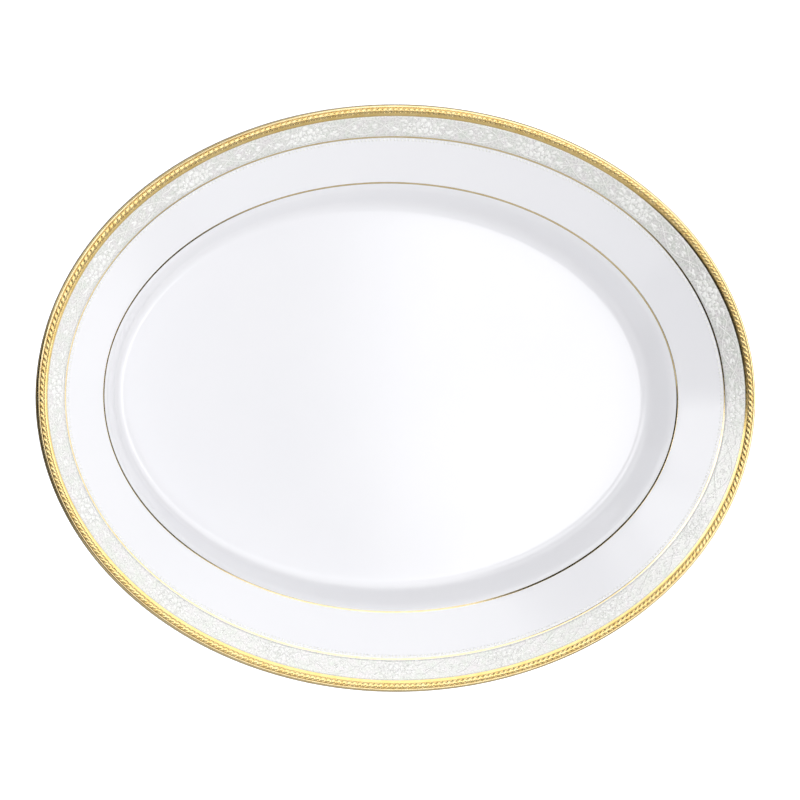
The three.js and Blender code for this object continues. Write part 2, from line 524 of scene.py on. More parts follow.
@dataclass(frozen=True)
class Gold:
    """Fired gold, burnished or left as it came from the etched ground."""

    name: str
    deep: Color
    pale: Color
    smoothest: float
    roughest: float
    pitting: float

    def build(self) -> bpy.types.Material:
        """Metal whose tint and gloss vary a little, with fine pits.

        Returns:
            The material.
        """
        shading = Shading(self.name)
        tint = shading.noise(260, detail=4)
        shading.drive("Base Color", shading.ramp(tint, (0.35, self.deep), (0.65, self.pale)))
        gloss = shading.spread(shading.noise(700, detail=3), self.smoothest, self.roughest)
        shading.drive("Roughness", gloss)
        shading.constant(Metallic=1.0)
        shading.bump(shading.noise(1500, detail=3), self.pitting, 0.5)
        return shading.material


@dataclass(frozen=True)
class Enamel:
    """Satin or glossy enamel, tinted in soft patches."""

    name: str
    tints: tuple[Color, ...]
    roughness: tuple[float, float]
    grain: float
    lustre: float = 0.0

    def build(self) -> bpy.types.Material:
        """Soft patches of neighbouring tints under a thin gloss, with a fine grain.

        Returns:
            The material.
        """
        shading = Shading(self.name)
        places = np.linspace(0.32, 0.68, len(self.tints))
        stops = [(float(place), tint) for place, tint in zip(places, self.tints)]
        shading.drive("Base Color", shading.ramp(shading.noise(210, detail=3), *stops))
        shading.drive("Roughness", shading.spread(shading.noise(900), *self.roughness))
        shading.constant(IOR=1.5, Coat_Weight=0.25, Coat_Roughness=0.12, Metallic=self.lustre)
        shading.bump(shading.noise(1700, detail=2), self.grain, 0.5)
        return shading.material


class Finish(Enum):
    """The platter's finishes, each with the material slot of the record that it stands for."""

    GLAZE = ("china_glaze", Glaze())
    BARE = ("china_glaze", BareChina())
    BURNISHED = (
        "burnished_gold",
        Gold("burnished_gold", (0.83, 0.60, 0.23), (0.89, 0.68, 0.31), 0.10, 0.18, 0.004 * MM),
    )
    # Paler, less yellow copy of the burnished gold in the same slot: painted highlight that makes the
    # thin lines look whitened by light.
    LINE = (
        "burnished_gold",
        Gold("line_gold", (0.85, 0.70, 0.43), (0.90, 0.77, 0.52), 0.10, 0.18, 0.004 * MM),
    )
    # Paler copy of the burnished gold in the same slot: painted highlight that brightens the rolled
    # edge.
    EDGE = (
        "burnished_gold",
        Gold("edge_gold", (0.88, 0.69, 0.36), (0.93, 0.77, 0.45), 0.10, 0.20, 0.004 * MM),
    )
    ETCHED = (
        "etched_gold",
        Gold("etched_gold", (0.88, 0.62, 0.24), (0.95, 0.74, 0.36), 0.18, 0.30, 0.010 * MM),
    )
    PEARL = (
        "pearl_enamel",
        Enamel(
            name="pearl_enamel",
            tints=((0.79, 0.82, 0.77), (0.82, 0.82, 0.80), (0.84, 0.81, 0.82)),
            roughness=(0.22, 0.34),
            grain=0.006 * MM,
            lustre=0.2,
        ),
    )
    WHITE = (
        "white_enamel",
        Enamel(
            name="white_enamel",
            tints=((0.93, 0.93, 0.91), (0.96, 0.96, 0.95)),
            roughness=(0.14, 0.24),
            grain=0.005 * MM,
        ),
    )

    @property
    def slot(self) -> str:
        """The record's material slot."""
        return self.value[0]

    @property
    def material(self) -> bpy.types.Material:
        """The finish's material, built on first use.

        Returns:
            The material, named after the kind of finish and its name here.
        """
        kind = self.value[1]
        name = f"{type(kind).__name__}_{self.name}"
        made = bpy.data.materials.get(name)
        if made is None:
            made = kind.build()
            made.name = name
        return made


def settle(piece: bpy.types.Object, finish: Finish, *nodes: str) -> None:
    """Puts a piece on the platter's body, in the place of CAD nodes.

    Args:
        piece: the piece.
        finish: not used.
        nodes: the CAD nodes that it stands for.
    """
    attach(piece, BODY)
    if nodes:
        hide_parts(*nodes)


# ---- Pieces -----------------------------------------------------------------------------


@dataclass(frozen=True)
class ChinaBody:
    """The china: rim, well, floor and foot in one.

    The corners of the underside that have several sizes hold the inset, then the rise or
    drop where the platter doesn't give it, then the radius. The side has no inset.
    """

    platter: Platter
    stations: int = 384
    floor_rings: int = 14
    foot_outer: float = 51 * MM
    foot_width: float = 3.4 * MM
    foot_inner_slope: float = 1.4 * MM
    foot_outer_slope: float = 1.0 * MM
    foot_outer_rise: float = 0.3 * MM
    foot_rounding: float = 0.5 * MM
    foot_fillet: float = 1.2 * MM
    recess_border: float = 8 * MM
    belly: tuple[float, float, float] = (45.5 * MM, 0.9 * MM, 5 * MM)
    shoulder: tuple[float, float] = (37.5 * MM, 9 * MM)
    band: tuple[float, float] = (15.4 * MM, 60 * MM)
    near_edge: tuple[float, float, float] = (4 * MM, 4.9 * MM, 12 * MM)
    lip: tuple[float, float] = (1.0 * MM, 1.2 * MM)
    side: tuple[float, float] = (1.8 * MM, 2 * MM)
    crown_rounding: float = 0.8 * MM
    arc_steps: int = 7
    longest_step: float = 2.4 * MM
    bare_below: float = 0.12 * MM

    def underside_line(self) -> Array:
        """The lower outline from the flat of the recess out to the crown of the edge.

        Returns:
            (n, 2) of inset and height: straight stretches joined by arcs.
        """
        p = self.platter
        top = p.height
        floor = top - p.well_depth - p.floor_thickness
        outer = self.foot_outer
        inner = outer + self.foot_width
        belly_inset, belly_rise, belly_radius = self.belly
        shoulder_inset, shoulder_radius = self.shoulder
        band_inset, band_radius = self.band
        edge_inset, edge_drop, edge_radius = self.near_edge
        lip_inset, lip_radius = self.lip
        side_drop, side_radius = self.side
        corners = [
            (inner + self.recess_border, floor, 0.0),
            (inner + self.foot_inner_slope, floor, self.foot_fillet),
            (inner, 0.0, self.foot_rounding),
            (outer, 0.0, self.foot_rounding),
            (outer - self.foot_outer_slope, floor + self.foot_outer_rise, self.foot_fillet),
            (belly_inset, floor + belly_rise, belly_radius),
            (shoulder_inset, top - p.drop_at_shoulder - p.rim_thickness, shoulder_radius),
            (band_inset, top - p.drop_at_band_line - p.rim_thickness, band_radius),
            (edge_inset, top - edge_drop, edge_radius),
            (lip_inset, top - p.edge_thickness, lip_radius),
            (p.gold_seat, top - side_drop, side_radius),
            (p.gold_seat, top - p.gold_seat, self.crown_rounding),
            (p.crown, top - p.gold_seat, 0.0),
        ]
        return lines_with_arcs(corners, self.arc_steps)

    def build(self) -> bpy.types.Object:
        """One closed surface: the outline carried round, and nested ovals on both flats.

        The flats shrink to a middle point: ring k of n has its points at k / n of the way.

        Returns:
            The piece.
        """
        p = self.platter
        line = np.concatenate([self.underside_line()[:-1], p.top_line()])
        line = subdivided(line, self.longest_step)
        angle = around(self.stations)
        wall = p.points(line[None, :, 0], line[None, :, 1], angle).transpose(1, 0, 2)
        share = np.arange(1, self.floor_rings)[:, None, None] / self.floor_rings
        level = np.array([1.0, 1.0, 0.0])
        under = wall[0] * (share * level) + [0, 0, line[0, 1]]
        over = (wall[-1] * (share * level) + [0, 0, line[-1, 1]])[::-1]
        rings = np.concatenate([under, wall, over])
        rows = len(rings)
        middles = np.array([[0, 0, line[0, 1]], [0, 0, line[-1, 1]]])
        vertices = np.concatenate([rings.reshape(-1, 3), middles])
        faces = grid_faces(rows, self.stations, False, True)
        here = np.arange(self.stations)
        beside = (here + 1) % self.stations
        last = (rows - 1) * self.stations
        under_point, over_point = len(vertices) - 2, len(vertices) - 1
        under_fan = np.stack([np.full(self.stations, under_point), beside, here, here], -1)
        over_fan = np.stack([np.full(self.stations, over_point), here, beside, beside], -1)
        over_fan[:, 1:] += last
        piece = make_piece(
            "platter_china",
            vertices,
            np.concatenate([faces, under_fan, over_fan]),
            [Finish.GLAZE.material, Finish.BARE.material],
        )
        self.bare_the_foot(piece)
        settle(piece, Finish.GLAZE, "china_body")
        return piece

    def bare_the_foot(self, piece: bpy.types.Object) -> None:
        """Gives the faces that the platter stands on the unglazed finish.

        Args:
            piece: the china, whose second slot is the unglazed finish.
        """
        count = len(piece.data.polygons)
        centers = np.empty(count * 3)
        piece.data.polygons.foreach_get("center", centers)
        low = centers[2::3] < self.bare_below
        piece.data.polygons.foreach_set("material_index", low.astype(np.int32))


@dataclass(frozen=True)
class GoldLine:
    """A line of gold round the rim, almost flat and just proud of the glaze."""

    platter: Platter
    name: str
    node: str
    start: float
    width: float
    crown: float
    finish: Finish = Finish.LINE
    proud: float = 0.02 * MM
    sunk: float = 0.12 * MM
    stations: int = 384
    steps: int = 10

    def build(self) -> bpy.types.Object:
        """A closed ring whose top is a parabola across its width: crown (1 - q q) high.

        The steps across run as a sine, so they are closest at both edges.

        Returns:
            The piece.
        """
        q = np.sin(np.linspace(-math.pi / 2, math.pi / 2, self.steps + 1))
        inset = self.start + self.width * (q + 1) / 2
        surface = self.platter.rim_height(inset)
        top = surface + self.crown * (1 - q**2) + self.proud
        bottom = surface - self.sunk
        section_inset = np.concatenate([inset, inset[::-1]])
        section_height = np.concatenate([top, bottom[::-1]])
        angle = around(self.stations)
        points = self.platter.points(section_inset[None], section_height[None], angle)
        faces = grid_faces(self.stations, len(section_inset), True, True)
        piece = make_piece(self.name, points.reshape(-1, 3), faces, [self.finish.material])
        settle(piece, self.finish, self.node)
        return piece


@dataclass(frozen=True)
class GoldEdge:
    """Burnished gold over the rolled edge, from under the rim to the etched band.

    Each corner of its outline holds an inset, a drop from the top and a radius. Those at the
    edge run from under the lip up over the side to the crown. Those at the band, whose insets
    are counted from it, make the small step down to it.
    """

    platter: Platter
    corners_at_edge: tuple[Corner, ...] = (
        (1.7 * MM, 3.8 * MM, 0.0),
        (0.75 * MM, 3.3 * MM, 0.8 * MM),
        (0.0, 1.8 * MM, 2 * MM),
        (0.0, 0.0, 1.0 * MM),
    )
    corners_at_band: tuple[Corner, ...] = (
        (-0.3 * MM, 0.0, 0.5 * MM),
        (0.05 * MM, 0.3 * MM, 0.0),
    )
    core: tuple[float, float] = (2.0 * MM, 2 * MM)
    shrink: float = 0.28
    arc_steps: int = 9
    longest_step: float = 0.4 * MM
    stations: int = 512

    def build(self) -> bpy.types.Object:
        """A closed ring: the edge's outline, and behind it the same outline shrunk to a core.

        Each point of the back lies at the same share of the way to the core's middle.

        Returns:
            The piece.
        """
        top = self.platter.height
        end = self.platter.ring_start("etched_gold_band")
        at_edge = [(inset, top - drop, radius) for inset, drop, radius in self.corners_at_edge]
        at_band = [(end + inset, top - drop, radius) for inset, drop, radius in self.corners_at_band]
        outline = lines_with_arcs(at_edge + at_band, self.arc_steps)
        outline = subdivided(outline, self.longest_step)
        core_inset, core_drop = self.core
        middle = np.array([core_inset, top - core_drop])
        inner = outline + (middle - outline) * self.shrink
        section = np.concatenate([outline, inner[::-1]])
        angle = around(self.stations)
        points = self.platter.points(section[None, :, 0], section[None, :, 1], angle)
        faces = grid_faces(self.stations, len(section), True, True)
        piece = make_piece("gold_edge", points.reshape(-1, 3), faces, [Finish.EDGE.material])
        settle(piece, Finish.EDGE, "gold_edge_line")
        return piece


@dataclass(frozen=True)
class RopeBand:
    """Gold over an etched rope: round strands that slant across the band."""

    platter: Platter
    strands: int = 370
    steps_per_strand: int = 12
    steps_across: int = 14
    base: float = 0.32 * MM
    crown: float = 0.12 * MM
    strand_height: float = 0.20 * MM
    fullness: float = 0.7
    valley_width: float = 0.16
    pit_depth: float = 0.24 * MM
    pit_place: float = 0.60
    pit_width: float = 0.18
    deepest: float = 0.85
    sweep: float = 1.15
    sunk: float = 0.45 * MM

    def lift(self, phase: Array, across: Array) -> Array:
        """Height of the rope over the rim.

        A rope's strand runs as an arc sine across its width: nearly along the rope at both
        sides and steeply over the middle. The nearer a point is to the valley between two
        strands, the lower it lies, and each valley ends in a small pit at both sides, a
        bell curve across the valley and another along it. Nothing lies lower than the
        deepest share of the base.

        Args:
            phase: distance along the band in strands.
            across: 0 at the outer side to 1 at the inner side.

        Returns:
            Heights in metres, of the two arrays' common shape.
        """
        lean = self.sweep * np.arcsin(np.clip(1 - 2 * across, -1, 1)) / math.pi
        within = (phase + lean) % 1.0
        strand = np.sin(math.pi * within) ** self.fullness
        crown = 1 - (2 * across - 1) ** 2
        valley = np.minimum(within, 1 - within) / self.valley_width
        from_middle = np.abs(2 * across - 1)
        side = np.exp(-(((from_middle - self.pit_place) / self.pit_width) ** 2))
        pit = self.pit_depth * np.exp(-(valley**2)) * side
        rope = self.crown * crown + self.strand_height * strand * np.sqrt(crown) - pit
        return self.base + np.maximum(rope, -self.deepest * self.base)

    def build(self) -> bpy.types.Object:
        """A closed ring with the rope on top and a plain sunk back.

        Returns:
            The piece.
        """
        start = self.platter.ring_start("etched_gold_band")
        end = self.platter.ring_start("gold_inner_line")
        count = self.strands * self.steps_per_strand
        angle = self.platter.angles_evenly_spaced((start + end) / 2, count)[:, None]
        phase = np.arange(count)[:, None] / self.steps_per_strand
        across = np.linspace(0, 1, self.steps_across + 1)[None]
        inset = start + (end - start) * across
        surface = self.platter.rim_height(inset)
        top = self.platter.points(inset, surface + self.lift(phase, across), angle)
        back_inset = np.array([[end, start]])
        back_height = self.platter.rim_height(back_inset) - self.sunk
        back = self.platter.points(back_inset, back_height, angle)
        points = np.concatenate([top, back], 1)
        faces = grid_faces(count, points.shape[1], True, True)
        piece = make_piece("gold_rope", points.reshape(-1, 3), faces, [Finish.ETCHED.material])
        settle(piece, Finish.ETCHED, "etched_gold_band")
        return piece


@dataclass
class Mounds:
    """Many small raised shapes, gathered and then made as one mesh.

    Each is a flattened ball: a unit ball scaled to half its length, width and height, pinched
    towards its ends by a taper, bent across its length, turned, and laid on the border. Its
    lower half is the root, which stands in the border and is as deep for all of them.
    """

    border: Border
    rows: int = 6
    columns: int = 12
    root: float = 0.25
    entries: list[tuple[float, ...]] = field(default_factory=list)

    def add(
        self,
        along: float,
        across: float,
        length: float,
        width: float,
        height: float,
        turn: float = 0.0,
        taper: float = 0.0,
        bend: float = 0.0,
    ) -> None:
        """Adds one shape.

        Args:
            along: place along the pattern, in millimetres like all lengths here.
            across: place across the pattern.
            length: full length.
            width: full width.
            height: height over the border.
            turn: angle of its length from the border's direction, in radians.
            taper: 0 for an oval to 1 for a leaf with pointed ends.
            bend: how far its middle is pushed sideways, in half widths.
        """
        self.entries.append((along, across, length, width, height, turn, taper, bend))

    def build(self, repeat: float, count: int) -> tuple[Array, Array]:
        """Points and faces of all shapes, laid count times round the border.

        Args:
            repeat: length of one repeat along the border, in metres.
            count: number of repeats.

        Returns:
            (n, 3) points and (m, 4) faces.
        """
        tilt = np.linspace(0, math.pi, self.rows + 1)[1:-1, None]
        turned = around(self.columns).T
        ball = np.stack(
            [
                (np.sin(tilt) * np.cos(turned)).ravel(),
                (np.sin(tilt) * np.sin(turned)).ravel(),
                (np.cos(tilt) + 0 * turned).ravel(),
            ]
        )
        ball = np.concatenate([ball, [[0, 0], [0, 0], [1, -1]]], 1)
        entries = np.array(self.entries).T[:, :, None]
        along, across, length, width, height, turn, taper, bend = entries
        u, v, w = ball[:, None, :]
        pinch = 1 - taper * u**2
        du = length / 2 * u
        dv = width / 2 * (v * pinch + bend * (1 - u**2))
        lift = np.where(w > 0, height * w, self.root * w) * MM
        s = (along + du * np.cos(turn) - dv * np.sin(turn)) * MM
        t = (across + du * np.sin(turn) + dv * np.cos(turn)) * MM
        shift = (np.arange(count) * repeat)[:, None, None]
        points = self.border.place(s[None] + shift, t[None], lift[None]).reshape(-1, 3)
        size = ball.shape[1]
        ring = self.columns
        body = grid_faces(self.rows - 1, ring, False, True)
        here = np.arange(ring)
        beside = (here + 1) % ring
        low = (self.rows - 2) * ring
        top_fan = np.stack([np.full(ring, size - 2), here, beside, beside], -1)
        bottom_fan = np.stack([np.full(ring, size - 1), low + beside, low + here, low + here], -1)
        one = np.concatenate([body[:, ::-1], top_fan, bottom_fan])
        total = len(self.entries) * count
        return points, (one[None] + (np.arange(total) * size)[:, None, None]).reshape(-1, 4)


@dataclass(frozen=True)
class Vine:
    """A raised thread of enamel along a path, laid many times round the border."""

    border: Border
    repeat: float
    count: int
    sides: int = 6
    steepness: float = 1.2
    raised: float = 0.06 * MM

    def build(self, along: Array, across: Array, half_width: Array) -> tuple[Array, Array]:
        """Flattened tubes: an oval section carried along the path, square to it.

        Args:
            along: distances along the border, in metres.
            across: distances outward.
            half_width: half the thread's width at each point.

        Returns:
            (n, 3) points and (m, 4) faces of all the copies.
        """
        ds, dt = np.gradient(along), np.gradient(across)
        norm = np.hypot(ds, dt)
        turn = (np.arange(self.sides) + 0.5) / self.sides * 2 * math.pi
        side = half_width[:, None] * np.cos(turn)[None]
        s = along[:, None] - side * (dt / norm)[:, None]
        t = across[:, None] + side * (ds / norm)[:, None]
        lift = half_width[:, None] * self.steepness * np.sin(turn)[None] + self.raised
        shift = (np.arange(self.count) * self.repeat)[:, None, None]
        points = self.border.place(s[None] + shift, t[None], lift[None]).reshape(-1, 3)
        last = (len(along) - 1) * self.sides
        end = np.array([[0, 1, 2, 3], [0, 3, 4, 5]])  # a six-sided end as two faces
        tube = grid_faces(len(along), self.sides, False, True)
        one = np.concatenate([tube[:, ::-1], end, end[:, ::-1] + last])
        start = (np.arange(self.count) * len(along) * self.sides)[:, None, None]
        return points, (one[None] + start).reshape(-1, 4)


@dataclass(frozen=True)
class PetalRing:
    """A ring of equal petals round a flower's middle.

    Reach, length and width are shares of the flower's radius, and height is in millimetres.
    """

    petals: int
    reach: float
    length: float
    width: float
    height: float
    start: float
    turn: float = 0.0
    taper: float = 0.0
    bend: float = 0.0


@dataclass(frozen=True)
class Flower:
    """A flower: rings of petals round a bud."""

    rings: tuple[PetalRing, ...]
    bud_size: float
    bud_height: float

    def add_to(
        self,
        mounds: Mounds,
        along: float,
        across: float,
        size: float,
        turn: float = 0.0,
    ) -> None:
        """Adds the flower's petals and its bud.

        Args:
            mounds: where they are gathered.
            along: place along the pattern, in millimetres.
            across: place across it.
            size: radius of the flower.
            turn: angle that the whole flower is turned by.
        """
        for ring in self.rings:
            for k in range(ring.petals):
                aim = turn + ring.start + k * 2 * math.pi / ring.petals
                mounds.add(
                    along + size * ring.reach * math.cos(aim),
                    across + size * ring.reach * math.sin(aim),
                    size * ring.length,
                    size * ring.width,
                    ring.height,
                    aim + ring.turn,
                    ring.taper,
                    ring.bend,
                )
        mounds.add(along, across, size * self.bud_size, size * self.bud_size, self.bud_height)


QUARTER_TURN = math.pi / 2
ROSE = Flower(
    rings=(
        PetalRing(5, 0.66, 1.05, 0.70, 0.40, 0.0, QUARTER_TURN, 0.15, -0.5),
        PetalRing(3, 0.32, 0.70, 0.44, 0.54, 0.5, QUARTER_TURN, 0.15, -0.5),
    ),
    bud_size=0.34,
    bud_height=0.66,
)
DAISY = Flower(
    rings=(PetalRing(5, 0.62, 0.8, 0.6, 0.36, QUARTER_TURN),),
    bud_size=0.45,
    bud_height=0.46,
)


@dataclass(frozen=True)
class FlowerBorder:
    """The enamel border: a pearl ground with raised white roses, leaves and vines on it.

    Sizes of the pattern are in millimetres and angles in radians. The leaf's width and taper
    are shares of its length and width, the vines' reach is a share of half a lens, and the
    wreath's ends are shares of half a turn. A bud's start and step hold its place along, its
    place across and its size. Sizes of the ground are in metres like everything else.
    """

    platter: Platter
    repeats: int = 16
    rose_angle: float = math.radians(90)
    ground_stations: int = 512
    ground_rings: int = 13
    ground_overlap: float = 0.05 * MM
    ground_proud: float = 0.03 * MM
    ground_sunk: float = 0.2 * MM
    mound_rows: int = 5
    mound_columns: int = 8
    leaf_width: float = 0.42
    leaf_height: float = 0.34
    leaf_taper: float = 0.85
    buds: int = 5
    bud_start: tuple[float, float, float] = (15.8, 0.3, 0.95)
    bud_step: tuple[float, float, float] = (1.1, -0.35, -0.12)
    bud_height: float = 0.4
    lens_half: float = 9.9
    swing: float = 3.5
    thread: float = 0.23
    thread_tip: float = 0.16
    vine_reach: float = 1.42
    vine_points: int = 45
    scroll_length: float = 7.5
    scroll_heading: float = 0.35
    scroll_curl: float = 4.6
    scroll_points: int = 26
    wreath_length: float = 10.2
    wreath_depth: float = 3.7
    wreath_ends: tuple[float, float] = (0.08, 0.92)
    wreath_points: int = 33

    @property
    def ground_start(self) -> float:
        """Inset of the ground's outer side."""
        return self.platter.ring_start("enamel_ground")

    @property
    def ground_end(self) -> float:
        """Inset of the ground's inner side."""
        return self.platter.ring_start("gold_band_line")

    @property
    def border(self) -> Border:
        """The strip that the pattern is laid on, starting at the middle of a rose."""
        return Border(self.platter, (self.ground_start + self.ground_end) / 2, self.rose_angle)

    @property
    def repeat(self) -> float:
        """Length of one repeat, in metres."""
        return self.platter.length_round(self.border.middle) / self.repeats

    def build_ground(self) -> bpy.types.Object:
        """A thin closed ring that stands just proud of the glaze.

        Returns:
            The piece.
        """
        outer = self.ground_start - self.ground_overlap
        inner = self.ground_end + self.ground_overlap
        inset = np.linspace(outer, inner, self.ground_rings)
        surface = self.platter.rim_height(inset)
        top, bottom = surface + self.ground_proud, surface - self.ground_sunk
        section_inset = np.concatenate([inset, inset[::-1]])
        section_height = np.concatenate([top, bottom[::-1]])
        angle = around(self.ground_stations)
        points = self.platter.points(section_inset[None], section_height[None], angle)
        faces = grid_faces(self.ground_stations, len(section_inset), True, True)
        piece = make_piece("pearl_ground", points.reshape(-1, 3), faces, [Finish.PEARL.material])
        settle(piece, Finish.PEARL, "enamel_ground")
        return piece

    def leaf(self, mounds: Mounds, along: float, across: float, length: float, turn: float) -> None:
        """A pointed leaf.

        Args:
            mounds: where it is gathered.
            along: place of its root along the pattern.
            across: place of its root across it.
            length: its length.
            turn: direction that it grows in.
        """
        mounds.add(
            along + length / 2 * math.cos(turn),
            across + length / 2 * math.sin(turn),
            length,
            length * self.leaf_width,
            self.leaf_height,
            turn,
            self.leaf_taper,
        )

    def gather(self) -> Mounds:
        """All the raised shapes of one repeat, the same on both sides of the great rose.

        A great rose has a smaller rose and a daisy at each side, then leaves and a row of
        shrinking buds, and a daisy stands halfway to the next great rose.

        Returns:
            The shapes.
        """
        mounds = Mounds(self.border, rows=self.mound_rows, columns=self.mound_columns)
        ROSE.add_to(mounds, along=0.0, across=0.3, size=3.3, turn=0.2)
        half = self.repeat / MM / 2
        DAISY.add_to(mounds, along=half, across=0.0, size=1.7)
        for mirror in (-1, 1):
            ROSE.add_to(mounds, along=5.6 * mirror, across=-0.6, size=2.3, turn=0.9 * mirror)
            DAISY.add_to(mounds, along=4.6 * mirror, across=2.9, size=1.1)
            for along, across, length, turn in self.leaf_plan(half):
                aim = turn if mirror > 0 else math.pi - turn
                self.leaf(mounds, along * mirror, across, length, aim)
            for k in range(self.buds):
                along, across, size = (
                    start + step * k for start, step in zip(self.bud_start, self.bud_step)
                )
                mounds.add(along * mirror, across, size, size, self.bud_height)
        return mounds

    def leaf_plan(self, half: float) -> list[tuple[float, float, float, float]]:
        """Root, length and direction of every leaf on one side of the great rose.

        Args:
            half: half the length of a repeat, in millimetres.

        Returns:
            (along, across, length, angle) in millimetres and radians.
        """
        return [
            (7.4, 1.2, 3.8, 0.55),
            (7.8, 0.4, 3.2, 0.0),
            (7.2, -1.2, 3.6, -0.5),
            (2.4, -2.4, 2.6, -0.7),
            (9.6, 2.4, 2.6, -0.15),
            (11.2, -1.0, 3.6, -0.35),
            (12.4, -1.6, 3.4, 0.35),
            (13.6, -2.2, 3.0, -0.1),
            (half - 6.6, 0.9, 3.4, -0.2),
            (half - 6.6, -0.9, 3.4, 0.2),
            (half - 4.0, 1.6, 2.6, 0.3),
            (half - 4.0, -1.6, 2.6, -0.3),
        ]

    def thread_plan(self) -> list[tuple[Array, Array, Array]]:
        """The threads of one repeat: two vines that cross, their scrolls, and a wreath.

        Between two roses both vines follow a cosine, one the other's mirror image, and cross
        at its zeros to make a lens. Each ends in a scroll, a curve that tightens evenly
        along its length. The wreath is most of half an ellipse on the inner side of the roses.

        Returns:
            For each thread, along, across and half width, all in millimetres.
        """
        half = self.repeat / MM / 2
        u = np.linspace(-1, 1, self.vine_points)
        reach = self.vine_reach * self.lens_half
        vine_along = half + reach * u
        vine_across = self.swing * np.cos(math.pi * u * reach / (2 * self.lens_half))
        threads = []
        for side in (-1, 1):
            threads.append((vine_along, side * vine_across, np.full(u.shape, self.thread)))
            for mirror in (-1, 1):
                heading = side * mirror * self.scroll_heading
                s, t = self.scroll(heading, -side * mirror)
                start = half + mirror * reach
                vine_end = side * vine_across[-1]
                thin = np.linspace(self.thread, self.thread_tip, len(s))
                threads.append((start + mirror * s, vine_end + mirror * t, thin))
        arc = np.linspace(*self.wreath_ends, self.wreath_points) * math.pi
        wreath_along = self.wreath_length * np.cos(arc)
        wreath_across = -self.wreath_depth * np.sin(arc)
        threads.append((wreath_along, wreath_across, np.full(arc.shape, self.thread)))
        return threads

    def scroll(self, heading: float, side: float) -> tuple[Array, Array]:
        """A curve whose bend grows evenly along its length, to a curl at its end.

        Args:
            heading: direction at its start, in radians.
            side: 1 to curl anticlockwise, -1 clockwise.

        Returns:
            Distances along and across from its start.
        """
        share = np.linspace(0, 1, self.scroll_points)
        aim = heading + side * self.scroll_curl * share**2
        step = self.scroll_length / (self.scroll_points - 1)
        s = np.concatenate([[0], np.cumsum(np.cos(aim[:-1]) * step)])
        t = np.concatenate([[0], np.cumsum(np.sin(aim[:-1]) * step)])
        return s, t

    def build_relief(self) -> bpy.types.Object:
        """The raised enamel as one mesh of closed shapes, each standing in the ground.

        Returns:
            The piece.
        """
        vertices, faces = self.gather().build(self.repeat, self.repeats)
        all_vertices, all_faces, total = [vertices], [faces], len(vertices)
        vine = Vine(self.border, self.repeat, self.repeats)
        for along, across, half_width in self.thread_plan():
            vertices, faces = vine.build(along * MM, across * MM, half_width * MM)
            all_vertices.append(vertices)
            all_faces.append(faces + total)
            total += len(vertices)
        piece = make_piece(
            "enamel_flowers",
            np.concatenate(all_vertices),
            np.concatenate(all_faces),
            [Finish.WHITE.material],
        )
        settle(piece, Finish.WHITE, "enamel_relief")
        return piece


@dataclass(frozen=True)
class BeadRow:
    """A row of small enamel dots just inside the gold line.

    The dots' width and height are in millimetres.
    """

    platter: Platter
    count: int = 496
    across: float = 1.15
    height: float = 0.26
    inset_in_ring: float = 0.75 * MM
    mound_rows: int = 6
    mound_columns: int = 8

    def build(self) -> bpy.types.Object:
        """Equal domes at equal distances round the rim.

        Returns:
            The piece.
        """
        start = self.platter.ring_start("enamel_bead_row")
        border = Border(self.platter, start + self.inset_in_ring)
        mounds = Mounds(border, rows=self.mound_rows, columns=self.mound_columns)
        mounds.add(0.0, 0.0, self.across, self.across, self.height)
        repeat = self.platter.length_round(border.middle) / self.count
        vertices, faces = mounds.build(repeat, self.count)
        piece = make_piece("enamel_beads", vertices, faces, [Finish.WHITE.material])
        settle(piece, Finish.WHITE, "enamel_bead_row")
        return piece


# ---- Studio -----------------------------------------------------------------------------


@dataclass(frozen=True)
class Patch:
    """A round patch of the room: its direction, the cosines at its soft edge, and its light."""

    direction: Place
    start: float
    end: float
    level: float = 0.02


@dataclass(frozen=True)
class Lamp:
    """A square softbox: its name, place, side and power."""

    name: str
    place: Place
    size: float
    power: float


